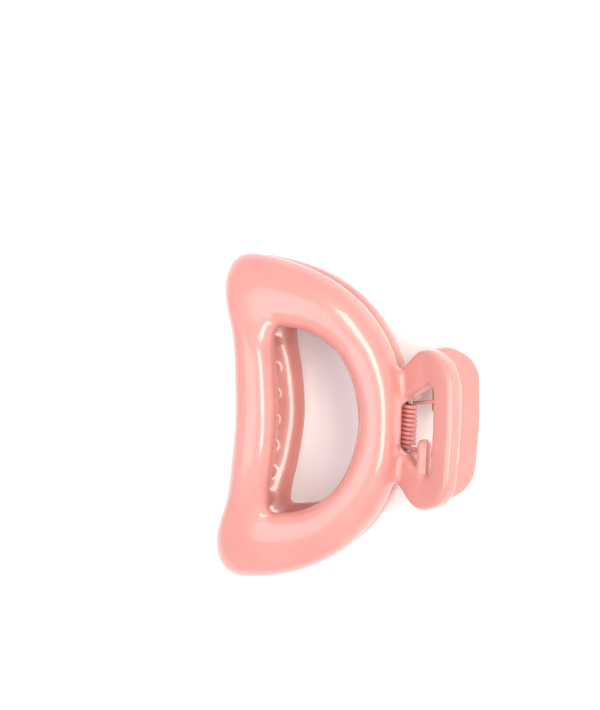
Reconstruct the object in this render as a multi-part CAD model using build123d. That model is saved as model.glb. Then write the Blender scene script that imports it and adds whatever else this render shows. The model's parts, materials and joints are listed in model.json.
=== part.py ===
from build123d import *
import os
from math import acos, atan2, cos, pi, radians, sin, sqrt

# Claw clip for hair: two identical moulded jaws, turned half a turn against each other
# on a steel pin, and a torsion spring wound round the pin that closes the tips.
#
# Millimetres. Everything is drawn in the hinge frame and moved to the part's own frame at
# the end. Hinge frame: the hinge axis is Y, the tips point along -X, the grips along +X,
# and Z = 0 is the parting plane, where the closed jaws meet. The front jaw is above it.

# Profile: the mid-surface of a jaw, cut at y = 0, is two arcs. It leaves the hinge side nearly
# flat, bends up along a hollow arc, and then runs over a crown and down to the tips.
PROFILE_START_X = 0.1
PROFILE_START_Z = 2.8       # above the parting plane
START_RISE = radians(4)     # its angle above the parting plane at the hinge side
STEEPEST_RISE = radians(30)  # and where the hollow arc meets the crown
HOLLOW_RADIUS = 18.0
CROWN_RADIUS = 40.0
DOME_RADIUS = 93.0          # and the surface also falls off to both sides of y = 0

# Frame: a D-shaped ring of round tube with two horns, drawn on the unrolled mid-surface.
# Each row is one cross-section: (s, y) on the outer rim and (s, y) on the window's rim,
# where s is the distance along the profile from the hinge-side edge. The rows go from the
# middle of the hinge side, along the arc and round the horn, to the middle of the tip bar.
# The other half is the mirror image.
FRAME_SECTIONS = [
    ((1.0, 0.0), (10.6, 0.0)),
    ((1.6, 9.0), (11.4, 5.9)),
    ((4.8, 18.1), (14.1, 12.7)),
    ((11.9, 26.6), (18.4, 17.3)),
    ((22.2, 33.0), (23.9, 20.0)),
    ((33.2, 36.2), (28.2, 20.7)),
    ((42.1, 35.9), (30.4, 20.1)),
    ((44.6, 31.4), (30.5, 17.4)),
    ((41.3, 19.9), (29.8, 12.5)),
    ((39.2, 9.3), (29.0, 6.3)),
    ((38.5, 0.0), (28.6, 0.0)),
]
STATIONS = 26               # cross-sections in one half of the finished ring
OVERLAP_STATIONS = 2        # more of them past each end, so that the halves meet smoothly
TUBE_OUTSIDE = 4.2          # height of the tube's section outwards from the mid-surface
TUBE_INSIDE = 3.3           # and inwards, towards the other jaw

# Grip: a flat looped plate, drawn in a plane that rises from the hinge.
GRIP_ANGLE = 39.5           # degrees between the plate and the parting plane
GRIP_UNDERSIDE = 0.2        # distance of the plate's inner face from the hinge axis
GRIP_THICKNESS = 3.6
GRIP_EDGE_RADIUS = 1.0
GRIP_ROOT = -1.5            # where the plate ends, inside the frame and the roots
# Corners of one half of the plate, (along, y) and the radius at each. The last is mid-way.
GRIP_OUTLINE = [((GRIP_ROOT, 10.4), 0), ((8.4, 18.5), 7.0), ((17.9, 14.4), 7.5), ((18.7, 0.0), 60.0)]
GRIP_WINDOW = [((GRIP_ROOT, 4.0), 0), ((10.4, 9.9), 1.2), ((12.3, 9.4), 1.2), ((12.6, 0.0), 60.0)]

# Root: the block that joins frame, grip and hinge ears on each side.
ROOT_NEAR_Y = 5.6
ROOT_FAR_Y = 11.5
ROOT_REACH = 10.0           # no part of it is further from the hinge axis
ROOT_ON_GRIP = [(1.6, 0.0), (2.6, 0.0), (2.0, 2.8)]         # along and above the plate's inner face
ROOT_ON_FRAME = [(-1.6, 4.6), (-5.0, 5.0), (-4.2, 1.6), (-2.2, 1.0)]

# Hinge.
PIN_RADIUS = 0.8
PIN_CLEARANCE = 0.05        # radial, in the ears
EAR_RADIUS = 2.5
EAR_CLEARANCE = 0.3         # between an ear and the recess that it turns in
EAR_SPANS = [(5.7, 7.7), (-9.9, -7.9)]                      # along Y, on the front jaw
PIN_END_GAP = 0.15          # between the outer ears and the pin's two heads
PIN_HEAD_RADIUS = 1.4
PIN_HEAD_THICKNESS = 0.6

# Spring: a close coil with one straight leg at each end, bearing on a peg of each jaw.
WIRE_RADIUS = 0.45
COIL_RADIUS = 1.5           # to the middle of the wire
COIL_HALF_LENGTH = 4.6      # from the middle of the hinge to the middle of an end turn
COIL_TURNS = 10             # counted up to the last whole turn
LEG_BEYOND_PEG = 1.6
LEG_GAP = 0.02              # between a leg and its peg

# Peg: a round-ended rib across the grip's window, which the spring's leg pushes on.
PEG_RADIUS = 1.6
PEG_PLACE = 8.5             # along the grip, from the hinge
PEG_ROOT_Y = -10.5
PEG_TIP_Y = -2.0

# Teeth: a row of short round points on the inner side of the tip bar. The row is a quarter
# of its pitch off centre, so the teeth of the two jaws pass between each other.
TOOTH_PITCH = 6.0
TOOTH_COUNT = 8             # an even number
TOOTH_S = 35.6              # place of the row, along the profile
TOOTH_ROOT_RADIUS = 1.8
TOOTH_TIP_RADIUS = 0.85
TOOTH_ROOT_Z = 8.6
TOOTH_TIP_Z = -1.2

hollow_length = HOLLOW_RADIUS * (STEEPEST_RISE - START_RISE)


def rise(s):
    """The profile's angle above the parting plane at distance s, going towards the tips."""
    if s < hollow_length:
        return START_RISE + s / HOLLOW_RADIUS
    return STEEPEST_RISE - (s - hollow_length) / CROWN_RADIUS


def on_profile(s, y):
    """The point of the mid-surface at distance s along the profile and place y along the hinge."""
    on_hollow = rise(min(s, hollow_length))
    on_crown = rise(max(s, hollow_length))
    x = (
        PROFILE_START_X
        - HOLLOW_RADIUS * (sin(on_hollow) - sin(START_RISE))
        - CROWN_RADIUS * (sin(STEEPEST_RISE) - sin(on_crown))
    )
    z = (
        PROFILE_START_Z
        + HOLLOW_RADIUS * (cos(START_RISE) - cos(on_hollow))
        + CROWN_RADIUS * (cos(on_crown) - cos(STEEPEST_RISE))
        - y**2 / (2 * DOME_RADIUS)
    )
    return Vector(x, y, z)


def outward(s, y):
    """The mid-surface's outward normal at distance s along the profile and place y."""
    return Vector(sin(rise(s)), y / DOME_RADIUS, cos(rise(s)))


def tube_section(outer, inner):
    """An egg-shaped section from the outer rim to the window's rim: two half ellipses."""
    start = on_profile(*outer)
    end = on_profile(*inner)
    across = start - end
    normal = outward((outer[0] + inner[0]) / 2, (outer[1] + inner[1]) / 2)
    plane = Plane(origin=(start + end) * 0.5, x_dir=across, z_dir=across.cross(normal))
    half_width = across.length / 2
    outside = plane * EllipticalCenterArc((0, 0), half_width, TUBE_OUTSIDE, 0, arc_size=180)
    inside = plane * EllipticalCenterArc((0, 0), half_width, TUBE_INSIDE, 180, arc_size=180)
    return Wire([outside, inside])


def smooth_rims():
    """The two rims of the frame as smooth curves on the unrolled surface, with shared parameters."""
    middles = [(Vector(*outer) + Vector(*inner)) * 0.5 for outer, inner in FRAME_SECTIONS]
    steps = [(after - before).length for before, after in zip(middles, middles[1:])]
    places = [sum(steps[:count]) / sum(steps) for count in range(len(FRAME_SECTIONS))]
    rims = []
    for side in (0, 1):
        points = [Vector(*section[side]) for section in FRAME_SECTIONS]
        rims.append(Edge.make_spline(points, tangents=[(0, 1), (0, -1)], parameters=places))
    return rims


def section_at(station, rims):
    """The tube's section at a station. Past either end of the half ring it is a mirror image."""
    steps = STATIONS - 1
    mirrored = station < 0 or station > steps
    place = 1 - abs(1 - abs(station) / steps)
    points = [rim.position_at(place, PositionMode.PARAMETER) for rim in rims]
    outer, inner = [(point.X, -point.Y if mirrored else point.Y) for point in points]
    return tube_section(outer, inner)


def make_frame():
    rims = smooth_rims()
    stations = range(-OVERLAP_STATIONS, STATIONS + OVERLAP_STATIONS)
    loft = Solid.make_loft([section_at(station, rims) for station in stations])
    half = split(loft, bisect_by=Plane.XZ, keep=Keep.BOTTOM)
    return half + half.mirror(Plane.XZ)


def rounded_face(corners):
    """A flat face, symmetric about y = 0, from the corners and radii of its upper half."""
    mirrored = [((along, -y), radius) for (along, y), radius in reversed(corners[:-1])]
    points, radii = zip(*(corners + mirrored))
    return make_face(FilletPolyline(*points, radius=radii, close=True))


grip_plane = Plane(
    origin=Vector(-sin(radians(GRIP_ANGLE)), 0, cos(radians(GRIP_ANGLE))) * GRIP_UNDERSIDE,
    x_dir=(cos(radians(GRIP_ANGLE)), 0, sin(radians(GRIP_ANGLE))),
    z_dir=(-sin(radians(GRIP_ANGLE)), 0, cos(radians(GRIP_ANGLE))),
)


def make_grip():
    plate = extrude(rounded_face(GRIP_OUTLINE) - rounded_face(GRIP_WINDOW), GRIP_THICKNESS)
    outer_and_inner_rims = plate.faces().filter_by(Axis.Z).edges()
    root_ends = plate.faces().sort_by(Axis.X).first.edges() + plate.faces().sort_by(Axis.X)[1].edges()
    return grip_plane * fillet(outer_and_inner_rims - root_ends, GRIP_EDGE_RADIUS)


def make_root():
    on_grip = [grip_plane.from_local_coords(Vector(u, 0, height)) for u, height in ROOT_ON_GRIP]
    on_frame = [Vector(x, 0, z) for x, z in ROOT_ON_FRAME]
    side = make_face(Polyline(on_grip + on_frame, close=True))
    block = Pos(0, ROOT_NEAR_Y, 0) * extrude(side, ROOT_FAR_Y - ROOT_NEAR_Y, dir=(0, 1, 0))
    return block + block.mirror(Plane.XZ)


def disc(radius, low_y, high_y):
    """A cylinder round the hinge axis, between two places along it."""
    middle = Location((0, (low_y + high_y) / 2, 0), (90, 0, 0))
    return middle * Cylinder(radius, high_y - low_y)


def make_ears(root):
    ears = Part()
    for low_y, high_y in EAR_SPANS:
        web = root & disc(ROOT_REACH, low_y, high_y)
        ears += disc(EAR_RADIUS, low_y, high_y) + web
    return ears


def make_peg():
    peg_height = GRIP_THICKNESS / 2
    length = PEG_TIP_Y - PEG_ROOT_Y - PEG_RADIUS
    middle_y = PEG_ROOT_Y + length / 2
    shaft = Location((PEG_PLACE, middle_y, peg_height), (90, 0, 0)) * Cylinder(PEG_RADIUS, length)
    end = Pos(PEG_PLACE, PEG_TIP_Y - PEG_RADIUS, peg_height) * Sphere(PEG_RADIUS)
    return grip_plane * (shaft + end)


def make_tooth(y):
    x = on_profile(TOOTH_S, 0).X
    tip_centre_z = TOOTH_TIP_Z + TOOTH_TIP_RADIUS
    height = TOOTH_ROOT_Z - tip_centre_z
    body = Pos(x, y, tip_centre_z + height / 2) * Cone(TOOTH_TIP_RADIUS, TOOTH_ROOT_RADIUS, height)
    return body + Pos(x, y, tip_centre_z) * Sphere(TOOTH_TIP_RADIUS)


def make_jaw():
    root = make_root()
    body = make_frame() + make_grip() + root
    body -= disc(EAR_RADIUS + EAR_CLEARANCE, -ROOT_FAR_Y - ROOT_REACH, ROOT_FAR_Y + ROOT_REACH)
    body += make_ears(root)
    body += make_peg()
    for number in range(-TOOTH_COUNT // 2, TOOTH_COUNT // 2):
        body += make_tooth(TOOTH_PITCH * (number + 0.25))
    return body - disc(PIN_RADIUS + PIN_CLEARANCE, -ROOT_FAR_Y, ROOT_FAR_Y)


def make_pin():
    shaft_end = max(abs(place) for span in EAR_SPANS for place in span) + PIN_END_GAP
    head_end = shaft_end + PIN_HEAD_THICKNESS
    shaft = disc(PIN_RADIUS, -shaft_end, shaft_end)
    return shaft + disc(PIN_HEAD_RADIUS, shaft_end, head_end) + disc(PIN_HEAD_RADIUS, -head_end, -shaft_end)


def make_spring():
    """One wire: the lower leg past the inner side of the front jaw's peg, the coil, the upper leg."""
    peg = grip_plane.from_local_coords(Vector(PEG_PLACE, 0, GRIP_THICKNESS / 2))
    peg_distance = sqrt(peg.X**2 + peg.Z**2)
    reach = COIL_RADIUS + WIRE_RADIUS + LEG_GAP + PEG_RADIUS
    foot_angle = atan2(peg.Z, peg.X) + acos(reach / peg_distance)
    leg_length = sqrt(peg_distance**2 - reach**2) + LEG_BEYOND_PEG
    turns = COIL_TURNS - foot_angle / pi
    height = 2 * COIL_HALF_LENGTH
    helix = Helix(height / turns, height, COIL_RADIUS, lefthand=True)
    lower_end = helix @ 0 - helix % 0 * leg_length
    upper_end = helix @ 1 + helix % 1 * leg_length
    path = Wire([Line(lower_end, helix @ 0), helix, Line(helix @ 1, upper_end)])
    section = Plane(origin=lower_end, z_dir=helix % 0) * Circle(WIRE_RADIUS)
    wire = sweep(section, path=path)
    for end in (lower_end, upper_end):
        wire += Pos(end) * Sphere(WIRE_RADIUS)
    foot_direction = (cos(foot_angle), 0, sin(foot_angle))
    return Plane(origin=(0, -COIL_HALF_LENGTH, 0), x_dir=foot_direction, z_dir=(0, 1, 0)) * wire


def half_turn(shape):
    """The shape of one jaw, turned about X to the place of the other jaw."""
    return shape.rotate(Axis.X, 180)


jaw = make_jaw()
nodes = {
    "front_jaw": jaw,
    "rear_jaw": half_turn(jaw),
    "hinge_pin": make_pin(),
    "torsion_spring": make_spring(),
}

# The part's own frame: the closed clip lies on its rear jaw, with its origin in the middle of
# the ground under it.
box = Compound(list(nodes.values())).bounding_box()
to_part_frame = Pos(-box.center().X, 0, -box.min.Z)
os.makedirs("parts", exist_ok=True)
for name, shape in nodes.items():
    export_step(to_part_frame * shape, f"parts/{name}.step")
print("hinge axis along Y through x, z:", to_part_frame.position.X, to_part_frame.position.Z)
print("size:", box.size)
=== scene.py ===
import json
from math import acos, atan, atan2, cos, hypot, pi, radians, sin, sqrt

import bpy
import numpy as np
import openvdb
from mathutils import Matrix, Vector


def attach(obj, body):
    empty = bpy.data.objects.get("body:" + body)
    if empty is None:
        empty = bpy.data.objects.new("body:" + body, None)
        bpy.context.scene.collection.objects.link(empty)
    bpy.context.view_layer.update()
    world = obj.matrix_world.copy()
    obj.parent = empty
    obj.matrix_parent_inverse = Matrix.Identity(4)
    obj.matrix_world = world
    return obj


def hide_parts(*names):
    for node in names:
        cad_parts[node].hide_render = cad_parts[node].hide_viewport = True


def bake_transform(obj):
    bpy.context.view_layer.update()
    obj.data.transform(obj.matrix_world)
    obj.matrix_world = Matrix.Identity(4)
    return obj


# Claw clip for hair: the looks of its two moulded jaws, its spring and its pin.
#
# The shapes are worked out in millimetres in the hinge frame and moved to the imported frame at
# the end. Hinge frame: the hinge axis is Y, the tips point along -X, the grips along +X, and
# Z = 0 is the parting plane, where the closed jaws meet. The front jaw is above it.

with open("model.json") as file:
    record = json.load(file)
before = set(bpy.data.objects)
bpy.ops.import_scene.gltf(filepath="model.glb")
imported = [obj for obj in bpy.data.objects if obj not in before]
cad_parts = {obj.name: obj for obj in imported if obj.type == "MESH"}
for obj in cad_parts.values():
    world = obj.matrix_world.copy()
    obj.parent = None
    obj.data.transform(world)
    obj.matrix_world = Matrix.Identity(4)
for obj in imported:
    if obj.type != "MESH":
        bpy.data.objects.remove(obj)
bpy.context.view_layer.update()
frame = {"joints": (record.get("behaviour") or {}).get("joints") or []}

MM = 0.001
hinge = Vector(frame["joints"][0]["pos_m"])

# Profile: the mid-surface of a jaw, cut at y = 0, is two arcs. It leaves the hinge side nearly
# flat, bends up along a hollow arc, and then runs over a crown and down to the tips.
PROFILE_START_X = 0.1
PROFILE_START_Z = 2.8       # above the parting plane
START_RISE = radians(4)     # its angle above the parting plane at the hinge side
STEEPEST_RISE = radians(30)  # and where the hollow arc meets the crown
HOLLOW_RADIUS = 18.0
CROWN_RADIUS = 40.0
DOME_RADIUS = 93.0          # and the surface also falls off to both sides of y = 0

# Frame: a D-shaped ring of round tube with two horns, drawn on the unrolled mid-surface.
# Each row is one cross-section: (s, y) on the outer rim and (s, y) on the window's rim,
# where s is the distance along the profile from the hinge-side edge. The rows go from the
# middle of the hinge side, along the arc and round the horn, to the middle of the tip bar.
# The other half is the mirror image.
FRAME_SECTIONS = [
    ((1.0, 0.0), (10.6, 0.0)),
    ((1.6, 9.0), (11.4, 5.9)),
    ((4.8, 18.1), (14.1, 12.7)),
    ((11.9, 26.6), (18.4, 17.3)),
    ((22.2, 33.0), (23.9, 20.0)),
    ((33.2, 36.2), (28.2, 20.7)),
    ((42.1, 35.9), (30.4, 20.1)),
    ((44.6, 31.4), (30.5, 17.4)),
    ((41.3, 19.9), (29.8, 12.5)),
    ((39.2, 9.3), (29.0, 6.3)),
    ((38.5, 0.0), (28.6, 0.0)),
]
TUBE_OUTSIDE = 4.2          # height of the tube's section outwards from the mid-surface
TUBE_INSIDE = 3.3           # and inwards, towards the other jaw
TUBE_STATIONS = 480
TUBE_SECTION_POINTS = 72

# Grip: a flat looped plate, drawn in a plane that rises from the hinge.
GRIP_ANGLE = radians(39.5)  # between the plate and the parting plane
GRIP_UNDERSIDE = 0.2        # distance of the plate's inner face from the hinge axis
GRIP_THICKNESS = 3.6
GRIP_EDGE_RADIUS = 1.0
GRIP_ROOT = -1.5            # where the plate ends, inside the frame and the roots
# Corners of one half of the plate, (along, y) and the radius at each. The last is mid-way.
GRIP_OUTLINE = [
    ((GRIP_ROOT, 10.4), 0),
    ((8.4, 18.5), 7.0),
    ((17.9, 14.4), 7.5),
    ((18.7, 0.0), 60.0),
]
GRIP_WINDOW = [
    ((GRIP_ROOT, 4.0), 0),
    ((10.4, 9.9), 1.2),
    ((12.3, 9.4), 1.2),
    ((12.6, 0.0), 60.0),
]
ARC_POINTS = 14             # along each rounded corner

# Root: the block that joins frame, grip and hinge ears on each side.
ROOT_NEAR_Y = 5.6
ROOT_FAR_Y = 11.5
ROOT_EDGE_RADIUS = 0.7
ROOT_ON_GRIP = [(1.6, 0.0), (2.6, 0.0), (2.0, 2.8)]         # along and above the plate's inner face
ROOT_ON_FRAME = [(-1.6, 4.6), (-5.0, 5.0), (-4.2, 1.6), (-2.2, 1.0)]

# Hinge.
PIN_RADIUS = 0.8
PIN_CLEARANCE = 0.05        # radial, in the ears
EAR_RADIUS = 2.5
EAR_EDGE_RADIUS = 0.25
EAR_CLEARANCE = 0.3         # between an ear and the recess that it turns in
EAR_SPANS = [(5.7, 7.7), (-9.9, -7.9)]                      # along Y, on the front jaw
PIN_END_GAP = 0.15          # between the outer ears and the pin's two heads
PIN_HEAD_RADIUS = 1.4
HEAD_DOME = 0.45            # height of the head's dome above its rim
PEENED_RADIUS = 1.3
PEENED_DOME = 0.3
PEENED_DISH = 0.1           # the hammered hollow in the middle of the peened end
RIM = 0.15                  # thickness of both ends at the edge
DOME_POINTS = 8
PIN_AROUND = 48

# Spring: a close coil with one straight leg at each end, bearing on a peg of each jaw.
WIRE_RADIUS = 0.45
COIL_RADIUS = 1.5           # to the middle of the wire
COIL_HALF_LENGTH = 4.6      # from the middle of the hinge to the middle of an end turn
COIL_TURNS = 10             # counted up to the last whole turn
LEG_BEYOND_PEG = 1.6
LEG_GAP = 0.02              # between a leg and its peg
COIL_TURN_POINTS = 40       # along the wire, for each turn
LEG_POINTS = 12
WIRE_AROUND = 24
WIRE_END_RINGS = 6

# Peg: a round-ended rib across the grip's window, which the spring's leg pushes on.
PEG_RADIUS = 1.6
PEG_PLACE = 8.5             # along the grip, from the hinge
PEG_ROOT_Y = -10.5
PEG_TIP_Y = -2.0

# Teeth: a row of round cones on the inner side of the tip bar. The row is a quarter of its
# pitch off centre, so the teeth of the two jaws pass between each other.
TOOTH_PITCH = 6.0
TOOTH_SHIFT = 0.25          # of the pitch
TOOTH_FIRST, TOOTH_LAST = -4, 3
TOOTH_S = 35.6              # place of the row, along the profile
TOOTH_ROOT_RADIUS = 1.8
TOOTH_TIP_RADIUS = 0.85
TOOTH_ROOT_Z = 8.6
TOOTH_TIP_Z = -1.2

# Mouldings: the jaw is worked out as a distance field on a grid of cells, and then meshed.
CELL = 0.3
FIELD_BOX = ((-47.0, -38.5, -4.0), (20.0, 38.5, 18.0))
FAR = 4.0                   # distances are kept up to this
FILLET = 1.6                # reach of the fillets between frame, root and grip
PEG_FILLET = 0.8
TOOTH_FILLET = 1.2
SMOOTHING_PASSES = 2        # over the field, before it is meshed
RELAX_PASSES = 4            # over the mesh
SURFACE_STEPS = 3           # that bring a point back onto the surface
GRIP_TABLE_STEP = CELL / 2

# Materials: a noise mostly lies between these two values, which colours and values are spread over.
NOISE_LOW, NOISE_HIGH = 0.3, 0.7

# Stage and light.
FLOOR_SIZE = 2.0            # metres
WORLD_COLOUR = (0.95, 0.97, 1, 1)
WORLD_STRENGTH = 1.0
LIGHT_DISTANCE = 0.7        # metres from the hinge
# Name, azimuth and elevation, width and height in metres, brightness, colour.
STUDIO_LIGHTS = [
    ("warm_strip", 12, 58, 0.74, 0.19, 10, (1.0, 0.93, 0.82)),
    ("wide_softbox", 178, 68, 0.60, 0.62, 2.05, (1.0, 0.95, 0.97)),
    ("grip_fill", 0, 14, 0.60, 0.25, 0.9, (1.0, 0.97, 0.93)),
]

# Camera: it starts straight above the parting plane, with +X to the right, and is then moved
# round the hinge by these angles. Lengths are in millimetres.
YAW = radians(17)           # about Y, towards the grips
PITCH = radians(3)          # about X, towards +Y
ROLL = radians(-2.2)        # about the line of sight
CAMERA_DISTANCE = 300       # from the hinge, along the line of sight
VIEW_HEIGHT = 157.08        # height of the picture at that distance
HINGE_IN_VIEW = (23.94, -15.50)  # place of the hinge, right of and above the picture's middle
NEAREST_IN_VIEW = 10


# ---- Profile and frame ----

hollow_length = HOLLOW_RADIUS * (STEEPEST_RISE - START_RISE)


def rise(s):
    """The profile's angle above the parting plane at distances s, towards the tips."""
    hollow = START_RISE + s / HOLLOW_RADIUS
    crowned = STEEPEST_RISE - (s - hollow_length) / CROWN_RADIUS
    return np.where(s < hollow_length, hollow, crowned)


def on_profile(s, y):
    """Points of the mid-surface at distances s along the profile and places y along the hinge."""
    on_hollow = rise(np.minimum(s, hollow_length))
    on_crown = rise(np.maximum(s, hollow_length))
    x = (
        PROFILE_START_X
        - HOLLOW_RADIUS * (np.sin(on_hollow) - sin(START_RISE))
        - CROWN_RADIUS * (sin(STEEPEST_RISE) - np.sin(on_crown))
    )
    z = (
        PROFILE_START_Z
        + HOLLOW_RADIUS * (cos(START_RISE) - np.cos(on_hollow))
        + CROWN_RADIUS * (np.cos(on_crown) - cos(STEEPEST_RISE))
        - y**2 / (2 * DOME_RADIUS)
    )
    return np.stack(np.broadcast_arrays(x, y, z), axis=-1)


def unit(vectors):
    """The vectors, each scaled to a length of one."""
    return vectors / np.linalg.norm(vectors, axis=-1, keepdims=True)


def outward(s, y):
    """The mid-surface's outward normals at distances s along the profile and places y."""
    return unit(np.stack([np.sin(rise(s)), y / DOME_RADIUS, np.cos(rise(s))], axis=-1))


def closed_spline(knots, values, places):
    """The values at places of a smooth closed curve that has the given values at the knots.

    The last knot is where the curve is back at the first value.
    """
    steps = np.diff(knots)
    count = len(steps)
    slopes = (np.roll(values, -1, axis=0) - values) / steps[:, None]
    before = np.roll(steps, 1)
    matrix = np.zeros((count, count))
    for row in range(count):
        matrix[row, row - 1] += before[row]
        matrix[row, row] += 2 * (before[row] + steps[row])
        matrix[row, (row + 1) % count] += steps[row]
    bends = np.linalg.solve(matrix, 6 * (slopes - np.roll(slopes, 1, axis=0)))
    at = np.clip(np.searchsorted(knots, places, side="right") - 1, 0, count - 1)
    after = (at + 1) % count
    step = steps[at][:, None]
    right = (places - knots[at])[:, None]
    left = step - right
    return (
        (bends[at] * left**3 + bends[after] * right**3) / (6 * step)
        + (values[at] / step - bends[at] * step / 6) * left
        + (values[after] / step - bends[after] * step / 6) * right
    )


def frame_tube():
    """The frame as a closed tube: its points and the quads between them."""
    half = np.array(FRAME_SECTIONS)
    other_half = half[-2:0:-1] * [1, -1]
    sections = np.concatenate([half, other_half])
    middles = sections.mean(axis=1)
    steps = np.linalg.norm(np.roll(middles, -1, axis=0) - middles, axis=1)
    knots = np.concatenate([[0], np.cumsum(steps)])
    places = np.linspace(0, knots[-1], TUBE_STATIONS, endpoint=False)
    outer = closed_spline(knots, sections[:, 0], places)
    inner = closed_spline(knots, sections[:, 1], places)
    start = on_profile(outer[:, 0], outer[:, 1])
    end = on_profile(inner[:, 0], inner[:, 1])
    across = (start - end) / 2
    normal = outward(*((outer + inner) / 2).T)
    side = unit(np.cross(across, normal))
    up = unit(np.cross(side, across))
    turn = np.linspace(0, 2 * pi, TUBE_SECTION_POINTS, endpoint=False)
    height = np.where(np.sin(turn) > 0, TUBE_OUTSIDE, TUBE_INSIDE) * np.sin(turn)
    middle = (start + end) / 2
    points = (
        middle[:, None]
        + across[:, None] * np.cos(turn)[None, :, None]
        + up[:, None] * height[None, :, None]
    )
    return points.reshape(-1, 3), ring_quads(TUBE_STATIONS, TUBE_SECTION_POINTS, closed=True)


def ring_quads(rings, per_ring, closed=False):
    """Quads between rings of points that follow each other, joined end to end if closed."""
    last = rings if closed else rings - 1
    ring, point = np.meshgrid(np.arange(last), np.arange(per_ring), indexing="ij")
    next_ring, next_point = (ring + 1) % rings, (point + 1) % per_ring
    corners = [(ring, point), (next_ring, point), (next_ring, next_point), (ring, next_point)]
    return np.stack([r * per_ring + p for r, p in corners], axis=-1).reshape(-1, 4)


# ---- Distance fields: negative inside the shape ----

low, high = np.array(FIELD_BOX)
cell_counts = np.round((high - low) / CELL).astype(int) + 1
first_cell = np.round(low / CELL).astype(int)
grid_x, grid_y, grid_z = [
    ((first_cell[axis] + np.arange(cell_counts[axis])) * CELL).astype(np.float32) for axis in range(3)
]
x = grid_x[:, None, None]
y = grid_y[None, :, None]
z = grid_z[None, None, :]


def join(a, b, fillet):
    """Both shapes as one, with a fillet of that reach where they meet: a smooth minimum."""
    near = np.maximum(fillet - np.abs(a - b), 0) / fillet
    return np.minimum(a, b) - near * near * fillet / 4


def extruded(flat, along, edge_radius):
    """A shape from its outline's distance and the distance past its two ends, with rounded edges."""
    inner_flat = flat + edge_radius
    inner_along = along + edge_radius
    outside = np.hypot(np.maximum(inner_flat, 0), np.maximum(inner_along, 0))
    return outside + np.minimum(np.maximum(inner_flat, inner_along), 0) - edge_radius


def rounded_outline(corners):
    """A closed outline, symmetric about y = 0, from the corners and radii of its upper half."""
    mirrored = [((along, -across), radius) for (along, across), radius in reversed(corners[:-1])]
    everything = corners + mirrored
    points = []
    for number, (corner, radius) in enumerate(everything):
        corner = np.array(corner)
        back = unit(np.array(everything[number - 1][0]) - corner)
        ahead = unit(np.array(everything[(number + 1) % len(everything)][0]) - corner)
        if radius == 0:
            points.append(corner)
            continue
        half_angle = acos(back @ ahead) / 2
        centre = corner + unit(back + ahead) * radius / sin(half_angle)
        run = radius / np.tan(half_angle)
        first = corner + back * run - centre
        final = corner + ahead * run - centre
        sweep = pi - 2 * half_angle
        for share in np.linspace(0, 1, ARC_POINTS):
            weights = sin((1 - share) * sweep), sin(share * sweep)
            points.append(centre + (first * weights[0] + final * weights[1]) / sin(sweep))
    return np.array(points)


def outline_distance(u, v, outline):
    """Distance of the points (u, v) from a closed outline, negative inside it."""
    shape = np.broadcast(u, v).shape
    distance = np.full(shape, np.inf)
    inside = np.zeros(shape, bool)
    for (u0, v0), (u1, v1) in zip(outline, np.roll(outline, -1, axis=0)):
        du, dv = u1 - u0, v1 - v0
        share = np.clip(((u - u0) * du + (v - v0) * dv) / (du**2 + dv**2), 0, 1)
        distance = np.minimum(distance, np.hypot(u - u0 - share * du, v - v0 - share * dv))
        if dv != 0:
            inside ^= ((v0 > v) != (v1 > v)) & (u < u0 + (v - v0) * du / dv)
    return np.where(inside, -distance, distance)


def frame_field():
    """The frame's tube, from its mesh."""
    points, quads = frame_tube()
    level_set = openvdb.FloatGrid.createLevelSetFromPolygons(
        points.astype(np.float32),
        quads=quads.astype(np.uint32),
        transform=openvdb.createLinearTransform(voxelSize=CELL),
        halfWidth=FAR / CELL,
    )
    field = np.empty(cell_counts, np.float32)
    level_set.copyToArray(field, ijk=tuple(int(count) for count in first_cell))
    return field


# The grip's plane: places along the plate and heights above its inner face, for each cell.
grip_along = x * cos(GRIP_ANGLE) + z * sin(GRIP_ANGLE)
grip_height = z * cos(GRIP_ANGLE) - x * sin(GRIP_ANGLE) - GRIP_UNDERSIDE


def grip_point(along, height):
    """The (x, z) of a place along the grip and a height above its inner face."""
    height += GRIP_UNDERSIDE
    grip_x = along * cos(GRIP_ANGLE) - height * sin(GRIP_ANGLE)
    return grip_x, along * sin(GRIP_ANGLE) + height * cos(GRIP_ANGLE)


def grip_field():
    """The grip's plate with its window.

    Its flat outline is worked out once, in a table along and across the plate, and looked up.
    """
    table_along = np.arange(grip_along.min() - CELL, grip_along.max() + CELL, GRIP_TABLE_STEP)
    outline, window = [
        outline_distance(table_along[:, None], grid_y[None, :], rounded_outline(corners))
        for corners in (GRIP_OUTLINE, GRIP_WINDOW)
    ]
    table = np.maximum(outline, -window).astype(np.float32)
    place = (grip_along[:, 0, :] - table_along[0]) / GRIP_TABLE_STEP
    index = place.astype(int)
    share = (place - index)[..., None]
    flat = (table[index] * (1 - share) + table[index + 1] * share).transpose(0, 2, 1)
    past_faces = np.abs(grip_height - GRIP_THICKNESS / 2) - GRIP_THICKNESS / 2
    return extruded(flat, past_faces, GRIP_EDGE_RADIUS)


def root_field():
    """The two root blocks, one on each side."""
    side = np.array([grip_point(*place) for place in ROOT_ON_GRIP] + ROOT_ON_FRAME)
    flat = outline_distance(x[:, 0, :], z[0], side).astype(np.float32)[:, None, :]
    middle, half_width = (ROOT_NEAR_Y + ROOT_FAR_Y) / 2, (ROOT_FAR_Y - ROOT_NEAR_Y) / 2
    return extruded(flat, np.abs(np.abs(y) - middle) - half_width, ROOT_EDGE_RADIUS)


def past_span(span):
    """Distance past the ends of a span along the hinge."""
    return np.abs(y - sum(span) / 2) - (span[1] - span[0]) / 2


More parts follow.
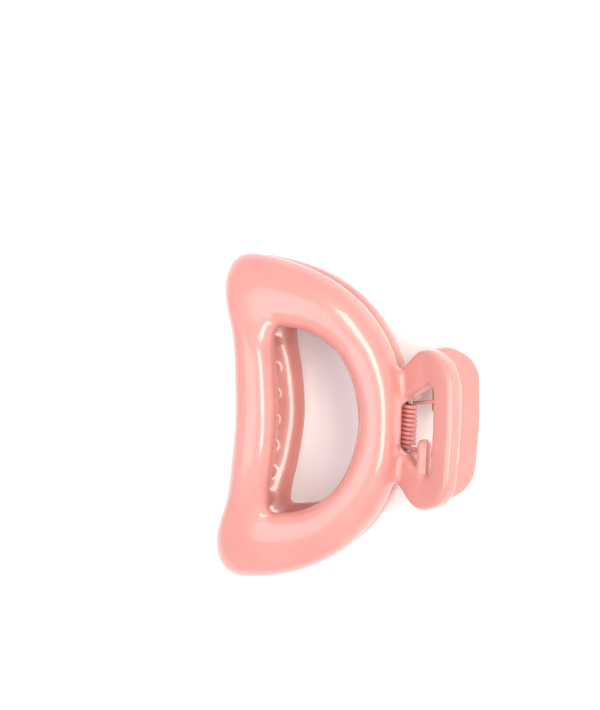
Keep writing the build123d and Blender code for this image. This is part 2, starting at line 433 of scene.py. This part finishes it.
def peg_field():
    """The peg: a rib along Y with a round end."""
    from_axis = np.hypot(grip_along - PEG_PLACE, grip_height - GRIP_THICKNESS / 2)
    past_end = y - np.clip(y, PEG_ROOT_Y, PEG_TIP_Y - PEG_RADIUS)
    return np.hypot(from_axis, past_end) - PEG_RADIUS


def teeth_field():
    """The row of teeth: for each cell, the cone of the nearest one, flat on top and round below."""
    tooth_x = on_profile(np.array(TOOTH_S), np.array(0.0))[0]
    nearest = np.clip(np.round(y / TOOTH_PITCH - TOOTH_SHIFT), TOOTH_FIRST, TOOTH_LAST)
    from_axis = np.hypot(x - tooth_x, y - TOOTH_PITCH * (nearest + TOOTH_SHIFT))
    tip = TOOTH_TIP_Z + TOOTH_TIP_RADIUS
    on_axis = np.maximum(z, tip)
    radius = np.interp(on_axis, [tip, TOOTH_ROOT_Z], [TOOTH_TIP_RADIUS, TOOTH_ROOT_RADIUS])
    return np.maximum(np.hypot(from_axis, z - on_axis) - radius, z - TOOTH_ROOT_Z)


def jaw_field():
    """The whole jaw. The other jaw's ears turn in the recesses, and the pin in the holes."""
    body = join(frame_field(), grip_field(), FILLET)
    body = join(body, root_field(), FILLET)
    from_hinge = np.hypot(x, z)
    past_ears = np.minimum(*[past_span(span) for span in EAR_SPANS])
    recess = np.maximum(from_hinge - EAR_RADIUS - EAR_CLEARANCE, -past_ears)
    body = np.maximum(body, -recess)
    body = np.minimum(body, extruded(from_hinge - EAR_RADIUS, past_ears, EAR_EDGE_RADIUS))
    body = join(body, peg_field(), PEG_FILLET)
    body = join(body, teeth_field(), TOOTH_FILLET)
    return np.maximum(body, PIN_RADIUS + PIN_CLEARANCE - from_hinge)


def smoothed(field):
    """The field with each value averaged with its neighbours along each axis."""
    for axis in range(3):
        edges = [(0, 0)] * 3
        edges[axis] = (1, 1)
        padded = np.pad(field, edges, mode="edge")
        before = np.take(padded, range(0, field.shape[axis]), axis=axis)
        after = np.take(padded, range(2, field.shape[axis] + 2), axis=axis)
        field = (before + 2 * field + after) / 4
    return field


def sampled(field, points):
    """The field's values at the points, from the eight cells round each."""
    places = points / CELL - first_cell
    index = np.clip(places.astype(int), 0, np.array(field.shape[:3]) - 2)
    share = places - index
    total = 0
    for corner in np.ndindex(2, 2, 2):
        weight = np.prod(np.where(corner, share, 1 - share), axis=1)
        i, j, k = (index + corner).T
        value = field[i, j, k]
        total = total + (value.T * weight).T
    return total


def onto_surface(points, field, slopes):
    """The points moved along the field's slope to where it is zero."""
    for _ in range(SURFACE_STEPS):
        slope = sampled(slopes, points)
        points = points - (sampled(field, points) / (slope**2).sum(axis=1))[:, None] * slope
    return points


def relaxed(points, quads):
    """The points moved half-way to the middle of their neighbours."""
    first, second = np.concatenate([quads[:, [a, b]] for a, b in ((0, 1), (1, 2), (2, 3), (3, 0))]).T
    total = len(points)
    neighbours = np.bincount(first, minlength=total) + np.bincount(second, minlength=total)
    middles = np.empty_like(points)
    for axis in range(3):
        forward = np.bincount(first, points[second, axis], total)
        backward = np.bincount(second, points[first, axis], total)
        middles[:, axis] = (forward + backward) / neighbours
    return (points + middles) / 2


def jaw_mesh():
    """The jaw's points and quads, in the hinge frame."""
    field = np.clip(jaw_field(), -FAR, FAR).astype(np.float32)
    for _ in range(SMOOTHING_PASSES):
        field = smoothed(field)
    grid = openvdb.FloatGrid(FAR)
    grid.copyFromArray(field, ijk=tuple(int(count) for count in first_cell))
    grid.transform = openvdb.createLinearTransform(voxelSize=CELL)
    points, quads = grid.convertToQuads(0.0)
    slopes = np.stack(np.gradient(field, CELL), axis=-1)
    points = onto_surface(points.astype(float), field, slopes)
    for _ in range(RELAX_PASSES):
        points = onto_surface(relaxed(points, quads), field, slopes)
    return points, quads.tolist()


# ---- Pieces ----


def new_piece(name, points, faces, material, slot, node):
    """An object from points in the hinge frame, in millimetres, that stands for a CAD node."""
    mesh = bpy.data.meshes.new(name)
    mesh.from_pydata((points * MM + np.array(hinge)).tolist(), [], faces)
    mesh.shade_smooth()
    mesh.materials.append(material)
    piece = bpy.data.objects.new(name, mesh)
    bpy.context.scene.collection.objects.link(piece)
    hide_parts(node)
    return piece


def half_turn(points):
    """Points of one jaw turned about X to the place of the other jaw."""
    return points * [1, -1, -1]


def capped(rings, first_pole, last_pole):
    """Rings of points joined one after another and closed at both ends: points and faces."""
    around = len(rings[0])
    count = len(rings) * around
    faces = ring_quads(len(rings), around).tolist()
    for number in range(around):
        after = (number + 1) % around
        faces.append([count, number, after])
        faces.append([count + 1, count - around + after, count - around + number])
    return np.vstack([*rings, first_pole, last_pole]), faces


def wire(path):
    """A round wire along a path, with ground round ends."""
    ahead = unit(np.gradient(path, axis=0))
    side = unit(np.cross(ahead[0], [0.0, 1.0, 0.0]))
    turn = np.linspace(0, 2 * pi, WIRE_AROUND, endpoint=False)[:, None]
    circles = []
    for forward in ahead:
        side = unit(side - forward * (side @ forward))
        circles.append((side * np.cos(turn) + np.cross(forward, side) * np.sin(turn)) * WIRE_RADIUS)
    lifts = np.linspace(0, pi / 2, WIRE_END_RINGS, endpoint=False)[1:]
    to_start, to_end = -ahead[0] * WIRE_RADIUS, ahead[-1] * WIRE_RADIUS
    start = [path[0] + to_start * sin(lift) + circles[0] * cos(lift) for lift in lifts[::-1]]
    end = [path[-1] + to_end * sin(lift) + circles[-1] * cos(lift) for lift in lifts]
    middle = [point + circle for point, circle in zip(path, circles)]
    return capped(start + middle + end, path[0] + to_start, path[-1] + to_end)


def spring_path():
    """The middle of the wire: the lower leg past the front jaw's peg, the coil, the upper leg."""
    peg_x, peg_z = grip_point(PEG_PLACE, GRIP_THICKNESS / 2)
    peg_distance = hypot(peg_x, peg_z)
    reach = COIL_RADIUS + WIRE_RADIUS + LEG_GAP + PEG_RADIUS
    foot_angle = atan2(peg_z, peg_x) + acos(reach / peg_distance)
    leg_length = sqrt(peg_distance**2 - reach**2) + LEG_BEYOND_PEG
    turns = COIL_TURNS - foot_angle / pi
    turned = np.linspace(0, 2 * pi * turns, round(turns * COIL_TURN_POINTS))
    climb = 2 * COIL_HALF_LENGTH / turned[-1]
    around = foot_angle + turned
    across, up = COIL_RADIUS * np.cos(around), COIL_RADIUS * np.sin(around)
    coil = np.stack([across, climb * turned - COIL_HALF_LENGTH, up], axis=1)
    ahead = unit(np.stack([-up, np.full_like(up, climb), across], axis=1))
    reaches = np.linspace(leg_length, 0, LEG_POINTS, endpoint=False)[:, None]
    return np.concatenate([coil[0] - ahead[0] * reaches, coil, coil[-1] + ahead[-1] * reaches[::-1]])


def turned_profile():
    """The pin's outline as (radius, y), and the y of its two poles.

    It has a domed head, the shaft and a flatter, peened end with a small hollow.
    """
    shaft_end = max(abs(place) for span in EAR_SPANS for place in span) + PIN_END_GAP
    quarter = np.linspace(0, pi / 2, DOME_POINTS)[1:]
    head = [(PIN_HEAD_RADIUS * sin(a), -shaft_end - RIM - HEAD_DOME * cos(a)) for a in quarter]
    peened = [(PEENED_RADIUS * cos(a), shaft_end + RIM + PEENED_DOME * sin(a)) for a in quarter[:-1]]
    under_head = [(PIN_HEAD_RADIUS, -shaft_end - RIM / 2), (PIN_HEAD_RADIUS - RIM / 2, -shaft_end)]
    shaft = [(PIN_RADIUS + RIM / 2, -shaft_end), (PIN_RADIUS, RIM / 2 - shaft_end)]
    other_end = [(PIN_RADIUS, shaft_end - RIM), (PIN_RADIUS + RIM, shaft_end)]
    peened_rim = [
        (PEENED_RADIUS - RIM / 2, shaft_end),
        (PEENED_RADIUS, shaft_end + RIM / 2),
        (PEENED_RADIUS, shaft_end + RIM),
    ]
    poles = -shaft_end - RIM - HEAD_DOME, shaft_end + RIM + PEENED_DOME - PEENED_DISH
    return head + under_head + shaft + other_end + peened_rim + peened, poles


def pin_mesh():
    """The pin's points and faces: its outline turned about Y."""
    profile, poles = turned_profile()
    turn = np.linspace(0, 2 * pi, PIN_AROUND, endpoint=False)[:, None]
    circle = np.hstack([np.cos(turn), np.zeros_like(turn), np.sin(turn)])
    rings = [circle * radius + [0, place, 0] for radius, place in profile]
    return capped(rings, [0, poles[0], 0], [0, poles[1], 0])


# ---- Materials ----


def new_material(name):
    """A node material: its tree, and its shader to be set up."""
    material = bpy.data.materials.new(name)
    material.use_nodes = True
    tree = material.node_tree
    return material, tree, tree.nodes["Principled BSDF"]


def noise(tree, wavelength, detail, stretch=(1, 1, 1)):
    """Noise that keeps its place on the piece, with a wavelength in millimetres."""
    coordinates = tree.nodes.new("ShaderNodeTexCoord")
    mapping = tree.nodes.new("ShaderNodeMapping")
    mapping.inputs["Scale"].default_value = [1 / (wavelength * MM * share) for share in stretch]
    texture = tree.nodes.new("ShaderNodeTexNoise")
    texture.inputs["Scale"].default_value = 1
    texture.inputs["Detail"].default_value = detail
    tree.links.new(coordinates.outputs["Object"], mapping.inputs["Vector"])
    tree.links.new(mapping.outputs["Vector"], texture.inputs["Vector"])
    return texture.outputs["Fac"]


def tint(tree, factor, dark, light, target):
    """The colour goes from dark to light with the factor."""
    ramp = tree.nodes.new("ShaderNodeValToRGB")
    stops = ((NOISE_LOW, dark), (NOISE_HIGH, light))
    for element, (place, colour) in zip(ramp.color_ramp.elements, stops):
        element.position = place
        element.color = (*colour, 1)
    tree.links.new(factor, ramp.inputs["Fac"])
    tree.links.new(ramp.outputs["Color"], target)


def vary(tree, factor, low_value, high_value, target):
    """A shader value that goes from low to high with the factor."""
    spread = tree.nodes.new("ShaderNodeMapRange")
    spread.inputs["From Min"].default_value = NOISE_LOW
    spread.inputs["From Max"].default_value = NOISE_HIGH
    spread.inputs["To Min"].default_value = low_value
    spread.inputs["To Max"].default_value = high_value
    tree.links.new(factor, spread.inputs["Value"])
    tree.links.new(spread.outputs["Result"], target)


def relief(tree, shader, layers):
    """Bumps from (noise, height in millimetres) layers, one on top of the other.

    The normal that comes out of the last one also goes into the shader.
    """
    normal = None
    for height, millimetres in layers:
        bump = tree.nodes.new("ShaderNodeBump")
        bump.inputs["Distance"].default_value = millimetres * MM
        tree.links.new(height, bump.inputs["Height"])
        if normal is not None:
            tree.links.new(normal, bump.inputs["Normal"])
        normal = bump.outputs["Normal"]
    tree.links.new(normal, shader.inputs["Normal"])
    return normal


def moulded_plastic():
    """Glossy opaque coral plastic, with the faint waves and clouds of a moulding."""
    material, tree, shader = new_material("coral_plastic")
    dark_coral, light_coral = (0.54, 0.208, 0.183), (0.58, 0.234, 0.208)
    tint(tree, noise(tree, 11, 3), dark_coral, light_coral, shader.inputs["Base Color"])
    vary(tree, noise(tree, 1.2, 4), 0.30, 0.38, shader.inputs["Roughness"])
    vary(tree, noise(tree, 7, 2), 0.09, 0.13, shader.inputs["Coat Roughness"])
    waves = noise(tree, 7, 1)
    grain = noise(tree, 0.5, 3)
    normal = relief(tree, shader, [(waves, 0.005), (grain, 0.0006)])
    tree.links.new(normal, shader.inputs["Coat Normal"])
    shader.inputs["Coat Weight"].default_value = 0.9
    shader.inputs["Subsurface Weight"].default_value = 0.12
    shader.inputs["Subsurface Scale"].default_value = 1.5 * MM
    return material


def lacquered_wire():
    """Spring wire under a thin pink lacquer, with fine marks."""
    material, tree, shader = new_material("pink_lacquer")
    dark_pink, light_pink = (0.50, 0.155, 0.14), (0.62, 0.215, 0.195)
    tint(tree, noise(tree, 1.5, 4), dark_pink, light_pink, shader.inputs["Base Color"])
    vary(tree, noise(tree, 0.4, 4), 0.22, 0.42, shader.inputs["Roughness"])
    relief(tree, shader, [(noise(tree, 0.25, 4), 0.006)])
    shader.inputs["Coat Weight"].default_value = 0.5
    shader.inputs["Coat Roughness"].default_value = 0.12
    return material


def drawn_steel():
    """Bright drawn steel, with fine lines along the pin."""
    material, tree, shader = new_material("pin_steel")
    lines = noise(tree, 0.12, 4, stretch=(1, 18, 1))
    dark_steel, light_steel = (0.34, 0.33, 0.32), (0.46, 0.45, 0.44)
    tint(tree, noise(tree, 0.8, 4), dark_steel, light_steel, shader.inputs["Base Color"])
    vary(tree, lines, 0.22, 0.40, shader.inputs["Roughness"])
    relief(tree, shader, [(lines, 0.004)])
    shader.inputs["Metallic"].default_value = 1
    return material


def pale_paper():
    """The floor: matt white, with a hardly visible grain."""
    material, tree, shader = new_material("white_floor")
    dark_white, light_white = (0.95, 0.95, 0.96), (0.97, 0.97, 0.975)
    tint(tree, noise(tree, 60, 3), dark_white, light_white, shader.inputs["Base Color"])
    vary(tree, noise(tree, 3, 3), 0.6, 0.75, shader.inputs["Roughness"])
    relief(tree, shader, [(noise(tree, 0.8, 3), 0.004)])
    return material


# ---- The clip ----

jaw_points, jaw_quads = jaw_mesh()
plastic = moulded_plastic()
for body, points in (("front", jaw_points), ("rear", half_turn(jaw_points))):
    jaw = new_piece(f"{body}_jaw_moulding", points, jaw_quads, plastic, "jaw_plastic", f"{body}_jaw")
    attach(jaw, body)

pin = new_piece("peened_pin", *pin_mesh(), drawn_steel(), "pin_steel", "hinge_pin")
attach(pin, "rear")

wire_points, wire_faces = wire(spring_path())
lacquer = lacquered_wire()
spring = new_piece("wound_spring", wire_points, wire_faces, lacquer, "spring_wire", "torsion_spring")
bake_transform(spring)

# ---- Stage and light ----

bpy.ops.mesh.primitive_plane_add(size=FLOOR_SIZE, location=(0, 0, 0))
floor = bpy.context.object
floor.name = "floor"
floor.data.materials.append(pale_paper())

world = bpy.data.worlds.new("studio")
bpy.context.scene.world = world
world.use_nodes = True
background = world.node_tree.nodes["Background"]
background.inputs["Color"].default_value = WORLD_COLOUR
background.inputs["Strength"].default_value = WORLD_STRENGTH
bpy.context.scene.view_settings.view_transform = "Standard"


def studio_light(name, azimuth, elevation, width, height, strength, colour):
    """A soft box that faces the hinge, as bright whatever its size.

    Azimuth is in degrees from +X towards +Y, and elevation in degrees above the floor.
    """
    data = bpy.data.lights.new(name, "AREA")
    data.shape = "RECTANGLE"
    data.size, data.size_y = width, height
    data.energy = strength * pi * width * height
    data.color = colour
    light = bpy.data.objects.new(name, data)
    bpy.context.scene.collection.objects.link(light)
    a, e = radians(azimuth), radians(elevation)
    towards = Vector((cos(a) * cos(e), sin(a) * cos(e), sin(e)))
    light.location = hinge + towards * LIGHT_DISTANCE
    light.rotation_euler = towards.to_track_quat("Z", "Y").to_euler()


for settings in STUDIO_LIGHTS:
    studio_light(*settings)

# ---- Camera ----

turn_to_camera = (
    Matrix.Rotation(ROLL, 3, "Z") @ Matrix.Rotation(PITCH, 3, "X") @ Matrix.Rotation(-YAW, 3, "Y")
)
to_world = turn_to_camera.transposed()
camera_data = bpy.data.cameras.new("camera")
camera = bpy.data.objects.new("camera", camera_data)
bpy.context.scene.collection.objects.link(camera)
place = to_world @ Vector((-HINGE_IN_VIEW[0], -HINGE_IN_VIEW[1], CAMERA_DISTANCE)) * MM + hinge
camera.matrix_world = Matrix.Translation(place) @ to_world.to_4x4()
camera_data.angle = 2 * atan(VIEW_HEIGHT / 2 / CAMERA_DISTANCE)
camera_data.clip_start = NEAREST_IN_VIEW * MM
bpy.context.scene.camera = camera
